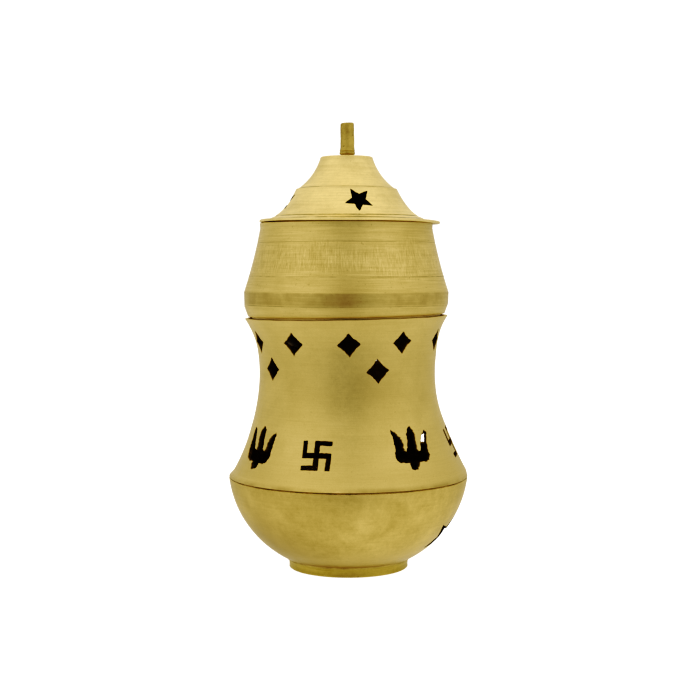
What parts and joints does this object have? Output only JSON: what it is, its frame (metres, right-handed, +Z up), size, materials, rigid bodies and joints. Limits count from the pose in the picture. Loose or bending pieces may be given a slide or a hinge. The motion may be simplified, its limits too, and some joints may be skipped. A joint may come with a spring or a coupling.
{
  "type": "incense burner",
  "caption": "Gourd-shaped brass incense burner: pierced stand on a foot ring, a lift-out cup in its mouth, a stepped lid with a stem, and a small fuel dish inside.",
  "frame": {"origin": "centre of the foot ring's underside, on the surface the burner stands on", "axes": "+Z up along the turning axis; -Y is the front, the side with one lid star and one upper diamond near the middle; +X is to the right of the front, the side with the bowl's star vent"},
  "size_m": [0.0822, 0.0822, 0.1524],
  "materials": {
    "stand_brass": "satin, turned, lightly brushed",
    "cup_brass": "satin, cross-brushed",
    "lid_brass": "satin, turned",
    "stem_brass": "rough, as cast",
    "dish_brass": "satin, heat-darkened"
  },
  "bodies": {
    "stand": {"foot_ring": "stand_brass", "bowl": "stand_brass", "waist": "stand_brass"},
    "cup": {"cup": "cup_brass"},
    "lid": {"lid": "lid_brass", "lid_ring": "lid_brass", "lid_stem": "stem_brass", "stem_washer": "stem_brass"},
    "dish": {"fuel_dish": "dish_brass"}
  },
  "joints": [
    {"name": "cup_lift", "type": "slide", "parent": "stand", "child": "cup", "axis": [0, 0, 1], "range_m": [0, 0.06]},
    {"name": "lid_lift", "type": "slide", "parent": "cup", "child": "lid", "axis": [0, 0, 1], "range_m": [0, 0.04]},
    {"name": "dish_lift", "type": "slide", "parent": "stand", "child": "dish", "axis": [0, 0, 1], "range_m": [0, 0.05]}
  ]
}
